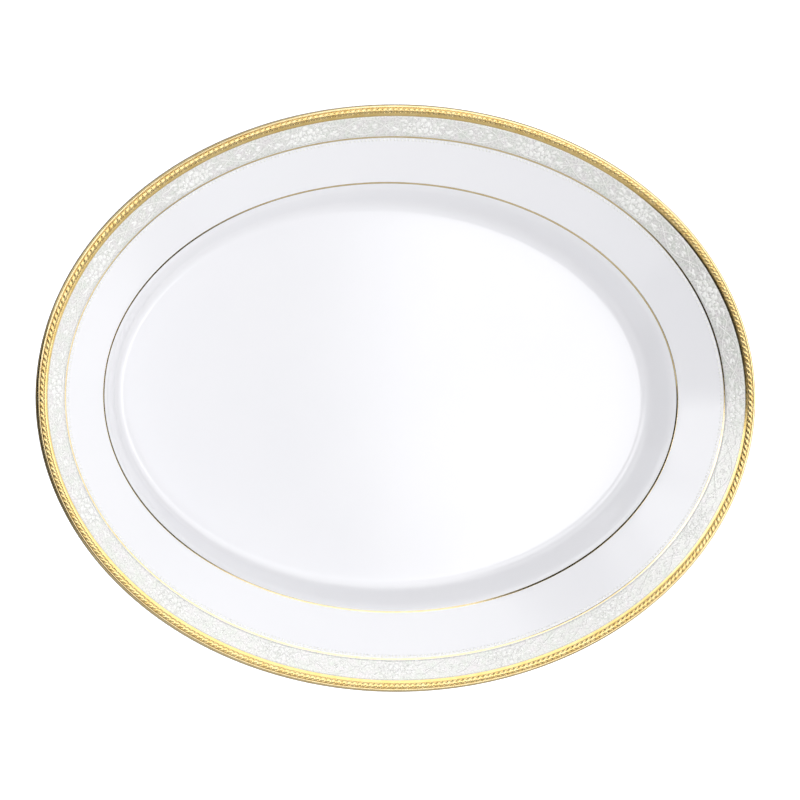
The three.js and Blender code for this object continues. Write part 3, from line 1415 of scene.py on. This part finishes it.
class Room:
    """The surroundings that the gloss reflects, painted region over region."""

    def __init__(self, level: float) -> None:
        """Starts a room that is equally bright all round.

        Args:
            level: its brightness.
        """
        self.world = bpy.data.worlds.new("room")
        self.world.use_nodes = True
        self.tree = self.world.node_tree
        self.view = self.tree.nodes.new("ShaderNodeTexCoord").outputs["Generated"]
        self.color = self.tree.nodes["Background"].inputs["Color"]
        self.color.default_value = (level, level, level, 1.0)

    def facing(self, direction: Place, start: float, end: float) -> bpy.types.NodeSocket:
        """An amount that rises from 0 to 1 as the ray turns to a direction.

        Args:
            direction: the direction, of any length.
            start: cosine of the angle to it at which the amount leaves 0.
            end: cosine at which it reaches 1.

        Returns:
            The amount.
        """
        dot = self.tree.nodes.new("ShaderNodeVectorMath")
        dot.operation = "DOT_PRODUCT"
        self.tree.links.new(self.view, dot.inputs[0])
        dot.inputs[1].default_value = Vector(direction).normalized()
        span = self.tree.nodes.new("ShaderNodeMapRange")
        span.inputs["From Min"].default_value = start
        span.inputs["From Max"].default_value = end
        span.interpolation_type = "SMOOTHSTEP"
        self.tree.links.new(dot.outputs["Value"], span.inputs["Value"])
        return span.outputs["Result"]

    def both(self, first: bpy.types.NodeSocket, second: bpy.types.NodeSocket) -> bpy.types.NodeSocket:
        """The product of two amounts.

        Args:
            first: one amount.
            second: the other.

        Returns:
            The product.
        """
        node = self.tree.nodes.new("ShaderNodeMath")
        node.operation = "MULTIPLY"
        self.tree.links.new(first, node.inputs[0])
        self.tree.links.new(second, node.inputs[1])
        return node.outputs["Value"]

    def paint(self, amount: bpy.types.NodeSocket, level: float) -> None:
        """Lays one brightness over what is painted so far.

        Args:
            amount: how much it covers, from 0 to 1.
            level: the brightness.
        """
        node = self.tree.nodes.new("ShaderNodeMix")
        node.data_type = "RGBA"
        sockets = {socket.identifier: socket for socket in node.inputs}
        self.tree.links.new(amount, sockets["Factor_Float"])
        sockets["A_Color"].default_value = self.color.default_value
        if self.color.is_linked:
            self.tree.links.new(self.color.links[0].from_socket, sockets["A_Color"])
        sockets["B_Color"].default_value = (level, level, level, 1.0)
        painted = next(socket for socket in node.outputs if socket.identifier == "Result_Color")
        self.tree.links.new(painted, self.color)


@dataclass(frozen=True)
class Studio:
    """The floor, the lights, the surroundings that the gloss reflects, and the camera.

    The patches are the bright back of the room, its dimmer lower part and its bright end, then
    the softboxes and dark gaps that the gold and the glaze mirror. The dark strip is what its
    three patches have in common, and the ground is dark straight below.
    """

    eye: Place = (-0.7457, 0.0625, 1.6951)
    aim: Place = (0.0019, -0.0010, 0.015)
    roll: float = math.radians(3.02)
    lens_mm: float = 181.5
    sensor_mm: float = 36.0
    far: float = 20.0
    floor_half: float = 6.0
    floor_level: float = -0.1 * MM
    floor_glow: float = 0.42
    room_level: float = 0.55
    backdrop_level: float = 1.0
    patches: tuple[Patch, ...] = (
        Patch((0.0, 1.0, 0.0), -0.5, 0.42, 1.23),
        Patch((0.0, 0.0, -1.0), -0.52, -0.38, 0.45),
        Patch((1.0, 0.0, 0.0), 0.70, 0.85, 1.20),
        Patch((0.33, 0.0, 0.944), 0.975, 0.990, 0.35),
        Patch((0.53, 0.0, 0.848), 0.9851, 0.9919, 3.0),
        Patch((0.45, 0.42, 0.79), 0.927, 0.970, 1.6),
        Patch((-0.10, 0.17, 0.98), 0.955, 0.970, 2.3),
        Patch((-0.03, -0.26, 0.965), 0.959, 0.970),
        Patch((-0.47, 0.03, 0.88), 0.974, 0.984),
        Patch((-0.38, 0.34, 0.86), 0.972, 0.984),
        Patch((-0.22, 0.56, 0.80), 0.970, 0.984),
        Patch((0.03, 0.67, 0.74), 0.968, 0.984),
        Patch((-0.90, -0.25, 0.30), 0.74, 0.82),
    )
    dark_strip: tuple[Patch, Patch, Patch] = (
        Patch((-0.7, 0.0, -1.0), -0.865, -0.84),
        Patch((0.0, 0.0, 1.0), 0.10, 0.20),
        Patch((1.0, 0.0, 0.0), 0.62, 0.78),
    )
    ground: Patch = Patch((0.0, 0.0, -1.0), 0.55, 0.85, 0.04)
    lamps: tuple[Lamp, ...] = (
        Lamp("key", (1.5, 0.1, 0.35), 0.9, 6.5),
        Lamp("fill", (-1.0, -0.6, 1.2), 0.9, 12.6),
    )

    def build_camera(self) -> None:
        """A long lens above the platter, off to its left, turned by a small roll."""
        data = bpy.data.cameras.new("camera")
        data.lens = self.lens_mm
        data.sensor_width = self.sensor_mm
        data.clip_end = self.far
        camera = bpy.data.objects.new("camera", data)
        forward = (Vector(self.aim) - Vector(self.eye)).normalized()
        right = forward.cross(Vector((0, 1, 0))).normalized()
        up = right.cross(forward)
        turned_right = math.cos(self.roll) * right + math.sin(self.roll) * up
        turned_up = math.cos(self.roll) * up - math.sin(self.roll) * right
        axes = Matrix((turned_right, turned_up, -forward)).transposed().to_4x4()
        camera.matrix_world = Matrix.Translation(self.eye) @ axes
        bpy.context.collection.objects.link(camera)
        bpy.context.scene.camera = camera

    def build_floor(self) -> None:
        """A plain, very pale floor that gives off a little light, which the gold doesn't mirror."""
        mesh = bpy.data.meshes.new("floor")
        half, level = self.floor_half, self.floor_level
        sides = ((-half, -half), (half, -half), (half, half), (-half, half))
        mesh.from_pydata([(x, y, level) for x, y in sides], [], [(0, 1, 2, 3)])
        shading = Shading("floor")
        shading.constant(Roughness=0.9, Base_Color=(0.95, 0.95, 0.95, 1.0))
        shading.constant(Emission_Strength=self.floor_glow, Emission_Color=(1.0, 1.0, 1.0, 1.0))
        mesh.materials.append(shading.material)
        floor = bpy.data.objects.new("floor", mesh)
        bpy.context.collection.objects.link(floor)
        floor.visible_glossy = False

    def add_softbox(self, lamp: Lamp) -> None:
        """A square area light that faces the platter, and that nothing mirrors.

        Args:
            lamp: the softbox.
        """
        data = bpy.data.lights.new(lamp.name, "AREA")
        data.size = lamp.size
        data.energy = lamp.power
        light = bpy.data.objects.new(lamp.name, data)
        light.location = lamp.place
        light.rotation_euler = (-Vector(lamp.place)).to_track_quat("-Z", "Y").to_euler()
        light.visible_glossy = False
        bpy.context.collection.objects.link(light)

    def build_surroundings(self) -> None:
        """The room, with the dark strip and the dark ground over its patches.

        Gloss and diffuse light see all of it. The camera sees one plain backdrop instead.
        """
        room = Room(self.room_level)
        for patch in self.patches:
            room.paint(room.facing(patch.direction, patch.start, patch.end), patch.level)
        below_the_box, over_the_horizon, at_the_end = (
            room.facing(patch.direction, patch.start, patch.end) for patch in self.dark_strip
        )
        strip = room.both(room.both(below_the_box, over_the_horizon), at_the_end)
        room.paint(strip, self.dark_strip[0].level)
        ground = self.ground
        room.paint(room.facing(ground.direction, ground.start, ground.end), ground.level)
        seen = room.tree.nodes.new("ShaderNodeLightPath").outputs["Is Camera Ray"]
        room.paint(seen, self.backdrop_level)
        bpy.context.scene.world = room.world

    def build(self) -> None:
        """Sets up the whole studio."""
        self.build_camera()
        self.build_floor()
        self.build_surroundings()
        for lamp in self.lamps:
            self.add_softbox(lamp)
        view = bpy.context.scene.view_settings
        view.view_transform = "Standard"
        view.exposure = 0.0


# ---- Assembly ---------------------------------------------------------------------------


INNER_CROWN = 0.02 * MM
BAND_MARGIN = 0.2 * MM
BAND_CROWN = 0.015 * MM
SHOULDER_MARGIN = 0.2 * MM
SHOULDER_WIDTH = 0.8 * MM
SHOULDER_CROWN = 0.012 * MM


def main() -> None:
    """Builds the studio and every piece of the platter."""
    logging.basicConfig(level=logging.INFO, format="%(name)s: %(message)s")
    Studio().build()
    platter = Platter()
    ChinaBody(platter).build()
    GoldEdge(platter).build()
    RopeBand(platter).build()
    inner = platter.ring_start("gold_inner_line")
    ground = platter.ring_start("enamel_ground")
    band = platter.ring_start("gold_band_line") + BAND_MARGIN
    beads = platter.ring_start("enamel_bead_row") - BAND_MARGIN
    shoulder = platter.ring_start("gold_shoulder_line") + SHOULDER_MARGIN
    GoldLine(
        platter,
        "gold_inner",
        "gold_inner_line",
        start=inner,
        width=ground - inner,
        crown=INNER_CROWN,
        finish=Finish.BURNISHED,
    ).build()
    flowers = FlowerBorder(platter)
    flowers.build_ground()
    flowers.build_relief()
    GoldLine(
        platter,
        "gold_band",
        "gold_band_line",
        start=band,
        width=beads - band,
        crown=BAND_CROWN,
    ).build()
    BeadRow(platter).build()
    GoldLine(
        platter,
        "gold_shoulder",
        "gold_shoulder_line",
        start=shoulder,
        width=SHOULDER_WIDTH,
        crown=SHOULDER_CROWN,
    ).build()


if __name__ == "__main__":
    main()
